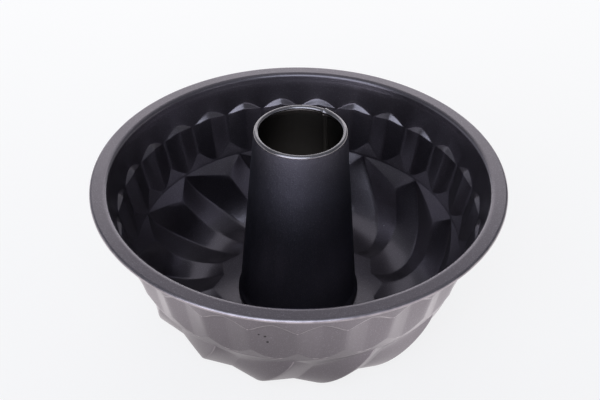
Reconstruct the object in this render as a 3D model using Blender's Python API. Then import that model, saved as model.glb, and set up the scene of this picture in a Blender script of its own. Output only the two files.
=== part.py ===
"""Kugelhopf mould: a deep drawn sheet steel bowl with a crimped centre tube.

Metres, +Z up. The mould stands on z = 0, and the Z axis runs through the middle of its tube.
Inside the functions, heights are counted from the rim's top plane, which is z = 0 there, and a depth
is counted down from that plane. The last step lifts both pieces on to the ground.
"""
import math

import bmesh
import bpy
import numpy as np

# Sheet thicknesses and the gap kept where two pieces touch
BOWL_SHEET = 0.0005
TUBE_SHEET = 0.0005
SEAT_GAP = 0.0003

# Rim: a flat flange whose outer edge is rolled under
RIM_RADIUS = 0.120
FLANGE_WIDTH = 0.0095
ROLL_RADIUS = 0.00135
MOUTH_FILLET = 0.003
WALL_DRAFT = math.radians(12.0)

# Panels: pressed into the wall, each with a sloping ledge on top and a blunt tip at the ring
PANEL_COUNT = 26
LEDGE_PEAK_DEPTH = 0.0170
LEDGE_END_DEPTH = 0.0226
LEDGE_ARCH = 0.0010
PANEL_CREASE_DEPTH = 0.0204
PANEL_PRESS = 0.0023
PANEL_RIB = 0.0008
PANEL_FOOT_DEPTH = 0.0414
PANEL_TIP_DEPTH = 0.0500
PANEL_TIP_PRESS = 0.0005

# Ring step between the panels and the flutes
RING_DEPTH = 0.0505
RING_STEP_HEIGHT = 0.0010
RING_STEP_INSET = 0.0003

# Flutes: each has a channel crease, which starts on the ring, and a ridge crease beside it
FLUTE_COUNT = 14
CHANNEL_AZIMUTH = math.radians(12.4)
CHANNEL_TWIST = math.radians(23.4)
CHANNEL_EARLY_TURN = 0.55
CHANNEL_TURN_SPREAD = 0.82
CHANNEL_DROP = 0.0085
CHANNEL_FLOOR_RADIUS = 0.0481
CHANNEL_CROWN_REACH = 0.0410
CHANNEL_CROWN_ANGLE = math.radians(33.0)
RIDGE_LAG = math.radians(7.1)
RIDGE_TWIST = math.radians(16.3)
RIDGE_EARLY_TURN = 0.2
RIDGE_TOP_DEPTH = 0.0630
RIDGE_TOP_INSET = 0.0044
RIDGE_DROP = 0.0107
RIDGE_DROP_ANGLE = math.radians(43.0)
RIDGE_FLOOR_RADIUS = 0.0550
RIDGE_CROWN_REACH = 0.0330
RIDGE_CROWN_ANGLE = math.radians(15.7)
FACE_BULGE = 0.0012
BULGE_FADE = 1.5
FLOOR_DEPTH = 0.0911

# Centre tube
TUBE_TOP_HEIGHT = 0.0297
TUBE_TOP_RADIUS = 0.0266
TUBE_BASE_RADIUS = 0.0356
CURL_RADIUS = 0.0013
CURL_SWEEP = math.radians(255.0)
BEAD_RADIUS = 0.0012
BEAD_REACH = 0.0016
NECK_INSET = 0.0013
LIP_WIDTH = 0.0034
SEAM_AZIMUTH = math.radians(57.0)
SEAM_WIDTH = 0.0032
SEAM_THICKNESS = 0.0009
SEAM_END_GAP = 0.0025

# Fineness of the meshes
PANEL_COLUMNS = 4
RIM_STEPS = PANEL_COLUMNS * PANEL_COUNT
ROLL_STEPS = 6
FILLET_STEPS = 3
BLADE_STEPS = 2
HOLLOW_STEPS = 4
FLUTE_ROWS = 10
PANEL_ROWS = 3
TUBE_STEPS = 48
BEAD_STEPS = 5
CURL_STEPS = 8
CURVE_SAMPLES = 400
WELD_DISTANCE = 1e-6
SHARP_ANGLE = math.radians(8)

MOUTH_RADIUS = RIM_RADIUS - FLANGE_WIDTH
RIM_START = math.pi / 2
NECK_RADIUS = TUBE_BASE_RADIUS - NECK_INSET
HOLE_RADIUS = NECK_RADIUS + SEAT_GAP


def polar(radius, azimuth, height):
    """Points (n, 3) at the given radii, azimuths and heights."""
    radius, azimuth, height = np.broadcast_arrays(radius, azimuth, height)
    return np.stack([radius * np.cos(azimuth), radius * np.sin(azimuth), height], axis=-1)


def arc(centre, radius, start, end, steps):
    """Points (r, z) on an arc, both ends included."""
    angle = np.linspace(start, end, steps + 1)
    return np.stack([centre[0] + radius * np.cos(angle), centre[1] + radius * np.sin(angle)], axis=-1)


def wall_radius(depth):
    """Inner radius of the plain conical wall at a depth."""
    return MOUTH_RADIUS - math.tan(WALL_DRAFT) * depth


class Sheet:
    """A surface made of loops of points round the axis, joined by bands of faces."""

    def __init__(self):
        self.points = []
        self.faces = []

    def loop(self, points):
        """Add a closed loop of points and return their numbers."""
        first = len(self.points)
        self.points.extend(points.tolist())
        return list(range(first, first + len(points)))

    def band(self, upper, lower):
        """Join two loops of as many points with quads."""
        for here, there in zip(range(len(upper)), list(range(1, len(upper))) + [0]):
            self.faces.append((upper[here], upper[there], lower[there], lower[here]))

    def bands(self, loops):
        """Join each loop to the next one."""
        for upper, lower in zip(loops, loops[1:]):
            self.band(upper, lower)

    def stitch(self, upper, lower):
        """Join two loops of unlike numbers of points with triangles, going round by azimuth."""
        turn_u, turn_l = self.turns(upper), self.turns(lower)
        start = int(np.argmin(np.abs(np.angle(np.exp(1j * (turn_l - turn_u[0]))))))
        lower = lower[start:] + lower[:start]
        turn_l = np.unwrap(np.append(turn_u[0], np.roll(turn_l, -start)))[1:]
        turn_u = np.append(turn_u, turn_u[0] + 2 * math.pi)
        turn_l = np.append(turn_l, turn_l[0] + 2 * math.pi)
        u = low = 0
        while u < len(upper) or low < len(lower):
            this_u, this_l = upper[u % len(upper)], lower[low % len(lower)]
            step_upper = low == len(lower) or (u < len(upper) and turn_u[u + 1] <= turn_l[low + 1])
            if step_upper:
                u += 1
                self.faces.append((this_u, upper[u % len(upper)], this_l))
            else:
                low += 1
                self.faces.append((this_u, lower[low % len(lower)], this_l))

    def turns(self, loop):
        """Azimuths of a loop's points, growing along it."""
        points = np.array([self.points[number] for number in loop])
        return np.unwrap(np.arctan2(points[:, 1], points[:, 0]))

    def make_object(self, name, thickness):
        """Make a Blender object of the surface, with its thickness on the side away from its normals."""
        mesh = bpy.data.meshes.new(name)
        mesh.from_pydata(self.points, [], self.faces)
        work = bmesh.new()
        work.from_mesh(mesh)
        bmesh.ops.remove_doubles(work, verts=work.verts, dist=WELD_DISTANCE)
        bmesh.ops.triangulate(work, faces=work.faces)
        work.to_mesh(mesh)
        work.free()
        mesh.shade_smooth()
        mesh.set_sharp_from_angle(angle=SHARP_ANGLE)
        obj = bpy.data.objects.new(name, mesh)
        bpy.context.collection.objects.link(obj)
        wall = obj.modifiers.new("sheet", "SOLIDIFY")
        wall.thickness = thickness
        wall.offset = -1
        wall.use_even_offset = True
        return obj


def rim_profile():
    """Profile (r, z) from the rolled edge's free end, over the flange, to the end of the mouth fillet."""
    roll = arc((RIM_RADIUS - ROLL_RADIUS, -ROLL_RADIUS), ROLL_RADIUS, -math.pi, math.pi / 2, ROLL_STEPS)
    turn = math.pi / 2 - WALL_DRAFT
    tangent = MOUTH_FILLET * math.tan(turn / 2)
    centre = (MOUTH_RADIUS + tangent, -MOUTH_FILLET)
    fillet = arc(centre, MOUTH_FILLET, math.pi / 2, math.pi / 2 + turn, FILLET_STEPS)
    return np.concatenate([roll, fillet])


def panel_loops():
    """Loops of the ledge's upper edge, the panel from its lip to its foot, and the ring.

    Along one panel the share across runs from 0 on a boundary to 1 on the middle crease and back. The
    boundary is a low rib that stands out, the middle crease is pressed inwards, and the foot runs down
    from the boundary to a tip just over the ring. Each half of a panel is spanned by straight lines.
    """
    step = np.arange(RIM_STEPS)
    azimuth = RIM_START + 2 * math.pi * step / RIM_STEPS
    across = 1 - np.abs(2 * (step % PANEL_COLUMNS) / PANEL_COLUMNS - 1)
    arch = LEDGE_ARCH * 4 * across * (1 - across)
    top = LEDGE_END_DEPTH + (LEDGE_PEAK_DEPTH - LEDGE_END_DEPTH) * across - arch
    edge = polar(wall_radius(top) + PANEL_RIB * (1 - across), azimuth, -top)
    lip = straight_run(azimuth, across, LEDGE_END_DEPTH, PANEL_CREASE_DEPTH, PANEL_PRESS)
    foot = straight_run(azimuth, across, PANEL_FOOT_DEPTH, PANEL_TIP_DEPTH, PANEL_TIP_PRESS)
    panel = [lip + (foot - lip) * row / PANEL_ROWS for row in range(PANEL_ROWS + 1)]
    ring = polar(wall_radius(RING_DEPTH), azimuth, -RING_DEPTH)
    return [edge, *panel, ring]


def straight_run(azimuth, across, rib_depth, crease_depth, press):
    """A loop that runs straight from each panel's boundary to its middle crease and on."""
    half = PANEL_COLUMNS // 2
    ribs = polar(wall_radius(rib_depth) + PANEL_RIB, azimuth, -rib_depth)
    creases = polar(wall_radius(crease_depth) - press, azimuth, -crease_depth)
    corners = np.where((across == 1)[:, None], creases, ribs)
    number = np.arange(RIM_STEPS)
    before = number // half * half
    share = ((number - before) / half)[:, None]
    return corners[before] * (1 - share) + corners[(before + half) % RIM_STEPS] * share


def crease(start, start_handle, end_handle, end):
    """A profile curve (r, z) at even steps of length, and the share of its length at each point."""
    t = np.linspace(0, 1, CURVE_SAMPLES)[:, None]
    corners = [np.array(corner) for corner in (start, start_handle, end_handle, end)]
    curve = ((1 - t) ** 3 * corners[0] + 3 * (1 - t) ** 2 * t * corners[1]
             + 3 * (1 - t) * t ** 2 * corners[2] + t ** 3 * corners[3])
    length = np.append(0, np.cumsum(np.hypot(*np.diff(curve, axis=0).T)))
    share = np.linspace(0, 1, FLUTE_ROWS + 1)
    wanted = share * length[-1]
    return np.stack([np.interp(wanted, length, curve[:, 0]), np.interp(wanted, length, curve[:, 1])], 1), share


def channel_crease():
    """The channel's crease: down from the ring, under the crown and up to the floor."""
    depth = RING_DEPTH + RING_STEP_HEIGHT
    start = (wall_radius(RING_DEPTH) - RING_STEP_INSET, -depth)
    end = (CHANNEL_FLOOR_RADIUS, -FLOOR_DEPTH)
    start_handle = (start[0], start[1] - CHANNEL_DROP)
    end_handle = (end[0] + CHANNEL_CROWN_REACH * math.cos(CHANNEL_CROWN_ANGLE),
                  end[1] - CHANNEL_CROWN_REACH * math.sin(CHANNEL_CROWN_ANGLE))
    profile, share = crease(start, start_handle, end_handle, end)
    early = share * (1 - share)
    swing = share + CHANNEL_EARLY_TURN * early - CHANNEL_TURN_SPREAD * early * (1 - 2 * share)
    return polar(profile[:, 0], CHANNEL_AZIMUTH - CHANNEL_TWIST * swing, profile[:, 1])


def ridge_crease():
    """The ridge's crease: it starts below the ring, and ends further out on the floor."""
    start = (wall_radius(RIDGE_TOP_DEPTH) - RIDGE_TOP_INSET, -RIDGE_TOP_DEPTH)
    end = (RIDGE_FLOOR_RADIUS, -FLOOR_DEPTH)
    start_handle = (start[0] - RIDGE_DROP * math.sin(RIDGE_DROP_ANGLE),
                    start[1] - RIDGE_DROP * math.cos(RIDGE_DROP_ANGLE))
    end_handle = (end[0] + RIDGE_CROWN_REACH * math.cos(RIDGE_CROWN_ANGLE),
                  end[1] - RIDGE_CROWN_REACH * math.sin(RIDGE_CROWN_ANGLE))
    profile, share = crease(start, start_handle, end_handle, end)
    swing = share + RIDGE_EARLY_TURN * share * (1 - share)
    return polar(profile[:, 0], CHANNEL_AZIMUTH + RIDGE_LAG - RIDGE_TWIST * swing, profile[:, 1])


def turned(points, angle):
    """Points turned about the axis."""
    cos, sin = math.cos(angle), math.sin(angle)
    x, y = points[..., 0], points[..., 1]
    return np.stack([x * cos - y * sin, x * sin + y * cos, points[..., 2]], axis=-1)


def face_between(left, right, steps, bulge):
    """Columns of points from one crease up to, but not including, the next; the face bulges outwards."""
    share = np.arange(steps) / steps
    flat = left[:, None] + (right - left)[:, None] * share[None, :, None]
    along = np.gradient(left + right, axis=0)
    outward = np.cross(right - left, -along)
    outward /= np.linalg.norm(outward, axis=1)[:, None]
    fade = (1 - np.linspace(0, 1, len(left))) ** BULGE_FADE
    swell = bulge * 4 * share[None, :] * (1 - share[None, :]) * fade[:, None]
    return flat + swell[..., None] * outward[:, None]


def flute_grid():
    """All flutes as an array (rows, columns, 3): row 0 is the top lip, the last row the floor's outline."""
    pitch = 2 * math.pi / FLUTE_COUNT
    channel, ridge = channel_crease(), ridge_crease()
    blade = face_between(channel, ridge, BLADE_STEPS, 0.0)
    hollow = face_between(ridge, turned(channel, pitch), HOLLOW_STEPS, FACE_BULGE)
    one = np.concatenate([blade, hollow], axis=1)
    return np.concatenate([turned(one, pitch * number) for number in range(FLUTE_COUNT)], axis=1)


def make_bowl():
    """The bowl's inner surface from the rolled rim to the hole in the floor, thickened outwards."""
    sheet = Sheet()
    azimuth = RIM_START + 2 * math.pi * np.arange(RIM_STEPS) / RIM_STEPS
    rim = [sheet.loop(polar(r, azimuth, z)) for r, z in rim_profile()]
    panels = [sheet.loop(points) for points in panel_loops()]
    sheet.bands(rim + panels)

    grid = flute_grid()
    lip = grid[0]
    step_radius = wall_radius(RING_DEPTH) - RING_STEP_INSET
    around = np.arctan2(lip[:, 1], lip[:, 0])
    step = sheet.loop(polar(step_radius, around, -(RING_DEPTH + RING_STEP_HEIGHT)))
    sheet.stitch(panels[-1], step)
    rows = [step] + [sheet.loop(row) for row in grid]
    sheet.bands(rows)

    hole_azimuth = 2 * math.pi * np.arange(TUBE_STEPS) / TUBE_STEPS
    hole = sheet.loop(polar(HOLE_RADIUS, hole_azimuth, -FLOOR_DEPTH))
    sheet.stitch(rows[-1], hole)
    return sheet.make_object("bowl", BOWL_SHEET)


def tube_profile():
    """Profile (r, z) of the tube's outer skin, from the lip under the floor to the end of the top curl."""
    floor_top = -FLOOR_DEPTH
    lip_top = floor_top - BOWL_SHEET - SEAT_GAP
    bead_bottom = floor_top + SEAT_GAP
    bead_centre = (TUBE_BASE_RADIUS + BEAD_REACH - BEAD_RADIUS, bead_bottom + BEAD_RADIUS)
    bead = arc(bead_centre, BEAD_RADIUS, -math.pi / 2, math.pi / 2, BEAD_STEPS)
    curl_centre = (TUBE_TOP_RADIUS - CURL_RADIUS, TUBE_TOP_HEIGHT - CURL_RADIUS)
    curl = arc(curl_centre, CURL_RADIUS, 0, CURL_SWEEP, CURL_STEPS)
    lip = [(NECK_RADIUS + LIP_WIDTH, lip_top), (NECK_RADIUS, lip_top), (NECK_RADIUS, bead_bottom)]
    foot = [(TUBE_BASE_RADIUS, bead_centre[1] + BEAD_REACH)]
    return np.concatenate([lip, bead, foot, curl])


def make_tube():
    """The centre tube: its outer skin turned round the axis, thickened inwards, with its lock seam."""
    sheet = Sheet()
    azimuth = 2 * math.pi * np.arange(TUBE_STEPS) / TUBE_STEPS
    profile = tube_profile()
    loops = [sheet.loop(polar(r, azimuth, z)) for r, z in profile]
    sheet.bands(loops)
    tube = sheet.make_object("centre_tube", TUBE_SHEET)
    join = tube.modifiers.new("lock seam", "BOOLEAN")
    join.operation = "UNION"
    join.object = make_seam_fold(profile)
    return tube


def make_seam_fold(profile):
    """The folded strip of the lock seam: a bar that lies along the inside of the tube's wall."""
    wall_bottom, wall_top = profile[-CURL_STEPS - 2], profile[-CURL_STEPS - 1]
    slope = (wall_top - wall_bottom) / (wall_top[1] - wall_bottom[1])
    low = wall_bottom + slope * SEAM_END_GAP
    high = wall_top - slope * (SEAM_END_GAP + CURL_RADIUS)
    sunk = TUBE_SHEET / 2
    corners = []
    for radius, height in (low, high):
        for inset in (sunk, TUBE_SHEET + SEAM_THICKNESS):
            half = SEAM_WIDTH / 2
            corners += [(radius - inset, -half, height), (radius - inset, half, height)]
    points = turned(np.array(corners), SEAM_AZIMUTH)
    faces = [(0, 1, 3, 2), (4, 6, 7, 5), (0, 4, 5, 1), (2, 3, 7, 6), (0, 2, 6, 4), (1, 5, 7, 3)]
    mesh = bpy.data.meshes.new("lock_seam_fold")
    mesh.from_pydata(points.tolist(), [], faces)
    work = bmesh.new()
    work.from_mesh(mesh)
    bmesh.ops.recalc_face_normals(work, faces=work.faces)
    work.to_mesh(mesh)
    work.free()
    fold = bpy.data.objects.new("lock_seam_fold", mesh)
    fold.hide_render = True
    fold.display_type = "WIRE"
    bpy.context.collection.objects.link(fold)
    return fold


def steel(name, colour, roughness, metallic):
    """A plain material for one piece."""
    material = bpy.data.materials.new(name)
    material.use_nodes = True
    shader = material.node_tree.nodes["Principled BSDF"]
    shader.inputs["Base Color"].default_value = (*colour, 1)
    shader.inputs["Roughness"].default_value = roughness
    shader.inputs["Metallic"].default_value = metallic
    return material


def lowest_point(obj):
    """Height of the lowest point of a finished object."""
    bpy.context.view_layer.update()
    finished = obj.evaluated_get(bpy.context.evaluated_depsgraph_get())
    mesh = finished.to_mesh()
    height = min(vertex.co.z for vertex in mesh.vertices)
    finished.to_mesh_clear()
    return height


def main():
    for old in list(bpy.data.objects):
        bpy.data.objects.remove(old, do_unlink=True)
    bowl = make_bowl()
    tube = make_tube()
    bowl.data.materials.append(steel("bowl_coating", (0.075, 0.07, 0.08), 0.38, 0.2))
    tube.data.materials.append(steel("tube_coating", (0.09, 0.085, 0.095), 0.34, 0.4))

    mould = bpy.data.objects.new("mould", None)
    bpy.context.collection.objects.link(mould)
    mould.location.z = -lowest_point(bowl)
    for piece in bpy.data.objects:
        if piece.type == "MESH":
            piece.parent = mould


main()
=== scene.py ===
"""Kugelhopf mould: the finished look of a coated sheet steel baking mould with a centre tube.

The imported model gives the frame: its boxes set the rim's radius and height and the tube's top. The other
sizes are the pressed shape's own, in metres. Inside the classes a depth is counted down from the rim's top
plane, and an azimuth is counted from +X, anticlockwise as seen from above.
"""
from __future__ import annotations

import logging
import math
from abc import ABC, abstractmethod
from dataclasses import dataclass, field
from enum import Enum

import bpy
import numpy as np
from mathutils import Matrix, Vector

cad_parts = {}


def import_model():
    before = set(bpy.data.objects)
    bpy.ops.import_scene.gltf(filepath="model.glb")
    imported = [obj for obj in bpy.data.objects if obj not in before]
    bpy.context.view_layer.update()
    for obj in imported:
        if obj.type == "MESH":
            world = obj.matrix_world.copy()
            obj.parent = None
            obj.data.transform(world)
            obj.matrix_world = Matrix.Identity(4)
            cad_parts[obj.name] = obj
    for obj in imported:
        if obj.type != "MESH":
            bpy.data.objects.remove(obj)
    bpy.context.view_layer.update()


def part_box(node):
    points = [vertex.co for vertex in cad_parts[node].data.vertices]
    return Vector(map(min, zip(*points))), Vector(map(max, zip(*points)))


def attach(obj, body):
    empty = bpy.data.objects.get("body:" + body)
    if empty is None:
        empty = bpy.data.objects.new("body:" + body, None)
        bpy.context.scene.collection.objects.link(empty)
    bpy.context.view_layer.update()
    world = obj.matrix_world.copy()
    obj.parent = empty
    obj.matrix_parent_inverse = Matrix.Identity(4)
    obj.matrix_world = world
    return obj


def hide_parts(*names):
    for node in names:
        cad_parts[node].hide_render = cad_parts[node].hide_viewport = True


LOG = logging.getLogger("mould")

Pair = tuple[float, float]
Triple = tuple[float, float, float]
Array = np.ndarray
Numbers = Array | float
Output = bpy.types.NodeSocket

FULL_TURN = 2 * math.pi
WHITE = (1.0, 1.0, 1.0)
SHARP_ANGLE = math.radians(38)
# The least value that a length, and a squared length, has where something is divided by it.
LEAST_LENGTH, LEAST_SQUARE = 1e-12, 1e-10
# The least and the greatest share of the way to the next corner that a corner's rounding takes.
LEAST_ROUNDING, MOST_ROUNDING = 0.001, 0.45
ROUNDING_SHARES = np.linspace(0.0, 1.0, 5)
CURVE_SHARES = np.linspace(0.0, 1.0, 600)[:, None]


def polar(radius: Numbers, azimuth: Numbers, height: Numbers) -> Array:
    """Turn cylinder coordinates into points: x = r cos a, y = r sin a, z = height.

    Args:
        radius: Distances from the axis.
        azimuth: Angles round the axis, in radians.
        height: Heights above the ground.

    Returns:
        Points as an array whose last side is x, y and z.
    """
    radius, azimuth, height = np.broadcast_arrays(radius, azimuth, height)
    return np.stack([radius * np.cos(azimuth), radius * np.sin(azimuth), height], axis=-1)


def turned(points: Array, angle: Numbers) -> Array:
    """Turn points about the axis, anticlockwise as seen from above.

    Args:
        points: The points, whose last side is x, y and z.
        angle: One angle in radians for all points, or one for each column.

    Returns:
        The turned points.
    """
    cos, sin, x, y, z = np.broadcast_arrays(np.cos(angle), np.sin(angle), *np.moveaxis(points, -1, 0))
    return np.stack([x * cos - y * sin, x * sin + y * cos, z], axis=-1)


def unit(vectors: Array) -> Array:
    """Scale vectors to length one."""
    return vectors / np.maximum(np.linalg.norm(vectors, axis=-1, keepdims=True), LEAST_LENGTH)


def arch(share: Array) -> Array:
    """An arch that is 0 at the shares 0 and 1 and is 1 half way: 4 s (1 - s)."""
    return 4.0 * share * (1.0 - share)


def arc(centre: Pair, radius: float, start: float, end: float, steps: int) -> Array:
    """Points (r, z) on a circle's arc: centre + radius (cos t, sin t), both ends included.

    Args:
        centre: The circle's centre as (r, z).
        radius: The circle's radius.
        start: Angle of the first point.
        end: Angle of the last point.
        steps: Number of steps between them.

    Returns:
        An array of steps + 1 points.
    """
    angle = np.linspace(start, end, steps + 1)
    return np.stack([centre[0] + radius * np.cos(angle), centre[1] + radius * np.sin(angle)], axis=-1)


def crowded_shares(steps: int) -> Array:
    """Shares from 0 up to but not including 1, closer near both ends: (1 - cos(pi n / steps)) / 2."""
    return (1.0 - np.cos(math.pi * np.arange(steps) / steps)) / 2.0


@dataclass(frozen=True)
class Columns:
    """Where each column of a grid lies between the corners of a closed run.

    A run goes round the mould from corner to corner. Each column belongs to its nearest corner, and its
    offset is its share of the way to the next corner (above 0) or to the one before (below 0).
    """

    home: Array
    offset: Array
    corners: int

    @classmethod
    def crowded(cls, repeats: int, steps: tuple[int, ...], shift: int = 0) -> Columns:
        """Columns that crowd at the corners of a run whose segments repeat.

        Args:
            repeats: How often the group of segments repeats round the mould.
            steps: The number of columns on each segment of the group.
            shift: The column at which the first corner lies.

        Returns:
            The columns.
        """
        share = np.tile(np.concatenate([crowded_shares(count) for count in steps]), repeats)
        segment = np.repeat(np.arange(repeats * len(steps)), np.tile(steps, repeats))
        late = share > 0.5
        home = (segment + late) % (repeats * len(steps))
        offset = np.where(late, share - 1.0, share)
        return cls(np.roll(home, shift), np.roll(offset, shift), repeats * len(steps))

    def weights(self, behind: Numbers, ahead: Numbers) -> tuple[Array, Array]:
        """Weights of the corner before and the corner after, with each corner rounded by a parabola.

        Within the given shares of its two segments a corner is replaced by the parabola that touches both:
        with t running from 0 to 1 over it, the weights are behind (1 - t)^2 and ahead t^2. Elsewhere the run
        is straight.

        Args:
            behind: Share of the segment before each corner that the rounding takes.
            ahead: Share of the segment after each corner that it takes.

        Returns:
            The weights of the corner before and of the corner after.
        """
        after, before = np.maximum(self.offset, 0.0), np.maximum(-self.offset, 0.0)
        t = 0.5 + after / (2.0 * ahead) - before / (2.0 * behind)
        rounded = (t > 0.0) & (t < 1.0)
        return np.where(rounded, behind * (1.0 - t) ** 2, before), np.where(rounded, ahead * t ** 2, after)

    def run(self, corners: Array, reach: Numbers) -> Array:
        """Points of every column on runs with rounded corners.

        Args:
            corners: The corners as (rows, corners, 3).
            reach: How far a corner's rounding reaches along each of its segments, in metres.

        Returns:
            Points as (rows, columns, 3).
        """
        here = corners[:, self.home]
        after = corners[:, (self.home + 1) % self.corners] - here
        before = corners[:, self.home - 1] - here
        shares = (np.clip(reach / np.linalg.norm(way, axis=-1), LEAST_ROUNDING, MOST_ROUNDING)
                  for way in (before, after))
        weight_before, weight_after = self.weights(*shares)
        return here + weight_before[..., None] * before + weight_after[..., None] * after

    def across(self) -> Array:
        """How far each column is from its segment's first corner, as a share of the segment from 0 to 1."""
        return np.where(self.offset < 0.0, self.offset + 1.0, self.offset)

    def segment(self) -> Array:
        """Number of the segment on which each column lies."""
        return (self.home - (self.offset < 0.0)) % self.corners


@dataclass(frozen=True)
class Row:
    """One key row of a surface.

    Attributes:
        points: The row's points as (columns, 3).
        reach: How far the rounding of this row's edge reaches to each side, in metres, or 0 for none.
        plain: Number of plain rows between this key row and the next.
    """

    points: Array
    reach: float = 0.0
    plain: int = 0

    def towards(self, other: Row) -> Array:
        """The step from this row towards another, as long as this row's rounding."""
        way = other.points - self.points
        length = np.linalg.norm(way, axis=-1, keepdims=True)
        return unit(way) * np.minimum(self.reach, MOST_ROUNDING * length)


def surface_rows(keys: list[Row]) -> Array:
    """Lay a grid of rows through key rows, with rounded edges.

    Down each column the key rows P are joined by straight lines. An edge with a reach is replaced by the
    parabola P + a (1 - t)^2 u + b t^2 v, where u and v point to the key rows above and below, and a and b are
    the reach, cut to less than half of the way to that row.

    Args:
        keys: The key rows from the surface's first edge to its last.

    Returns:
        The rows as (rows, columns, 3).
    """
    rows: list[Array] = []
    for number, key in enumerate(keys):
        if key.reach > 0.0:
            up, down = key.towards(keys[number - 1]), key.towards(keys[number + 1])
            rows.extend(key.points + up * (1.0 - t) ** 2 + down * t ** 2 for t in ROUNDING_SHARES)
        else:
            rows.append(key.points)
        if key.plain:
            start, following = rows[-1], keys[number + 1]
            end = following.points + following.towards(key)
            shares = np.arange(1, key.plain + 1) / (key.plain + 1)
            rows.extend(start * (1.0 - share) + end * share for share in shares)
    return np.stack(rows)


def grid_normals(grid: Array) -> Array:
    """Normals of a grid whose columns go right round: the mean of the faces' unit normals at each point.

    A face's normal is the cross product of its diagonals.

    Args:
        grid: Points as (rows, columns, 3).

    Returns:
        Unit normals of the same shape.
    """
    beside = np.roll(grid, -1, axis=1)
    faces = unit(np.cross(beside[1:] - grid[:-1], grid[1:] - beside[:-1]))
    padded = np.concatenate([faces[:1], faces, faces[-1:]])
    around = padded + np.roll(padded, 1, axis=1)
    return unit(around[:-1] + around[1:])


def grid_bend(grid: Array, normals: Array) -> Array:
    """How sharply a surface bends, in 1/m: the normals' spread over the points' spread, along and across.

    Args:
        grid: Points as (rows, columns, 3).
        normals: The unit normals there.

    Returns:
        Values as (rows, columns), above 0 where the surface stands proud on the side of its normals.
    """
    def bend(way: Array, tilt: Array) -> Array:
        """How far the normals tilt along steps over the surface, for each metre of the way."""
        return (way * tilt).sum(axis=-1) / np.maximum((way * way).sum(axis=-1), LEAST_SQUARE)

    down = (np.gradient(values, axis=0) for values in (grid, normals))
    sideways = (np.roll(values, -1, axis=1) - np.roll(values, 1, axis=1) for values in (grid, normals))
    return bend(*down) + bend(*sideways)


def closed_shell(skin: Array, thickness: float) -> tuple[Array, Array]:
    """Close a skin to a sheet of even thickness: its second skin lies that far behind its normals.

    Args:
        skin: The first skin as (rows, columns, 3).
        thickness: The sheet's thickness.

    Returns:
        The rows of both skins as one closed grid, and the bend of the surface at each point.
    """
    normals = grid_normals(skin)
    bend = grid_bend(skin, normals)
    behind = skin - thickness * normals
    return np.concatenate([skin, behind[::-1]]), np.concatenate([bend, -bend[::-1]])


def linked_object(name: str, data: bpy.types.ID) -> bpy.types.Object:
    """Make an object of a mesh, a lamp or a camera and put it into the scene."""
    obj = bpy.data.objects.new(name, data)
    bpy.context.collection.objects.link(obj)
    return obj


def grid_object(name: str, grid: Array, bend: Array | None = None) -> bpy.types.Object:
    """Make an object of a grid whose columns go right round.

    A sheet's grid comes with its bend, and its rows close on themselves too. A bar's grid comes without, and
    gets a face over each end.

    Args:
        name: The object's name.
        grid: Points as (rows, columns, 3).
        bend: Values kept on the points as the attribute bend.

    Returns:
        The object, at the origin.
    """
    number = np.arange(grid.shape[0] * grid.shape[1]).reshape(grid.shape[:2])
    beside, below = np.roll(number, -1, axis=1), np.roll(number, -1, axis=0)
    quads = np.stack([number, beside, np.roll(below, -1, axis=1), below], axis=-1)
    mesh = bpy.data.meshes.new(name)
    if bend is None:
        ends = [number[0][::-1].tolist(), number[-1].tolist()]
        mesh.from_pydata(grid.reshape(-1, 3), [], quads[:-1].reshape(-1, 4).tolist() + ends)
    else:
        mesh.from_pydata(grid.reshape(-1, 3), [], quads.reshape(-1, 4))
        values = bend.reshape(-1).astype(np.float32)
        mesh.attributes.new("bend", "FLOAT", "POINT").data.foreach_set("value", values)
    mesh.shade_smooth()
    mesh.set_sharp_from_angle(angle=SHARP_ANGLE)
    return linked_object(name, mesh)


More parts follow.
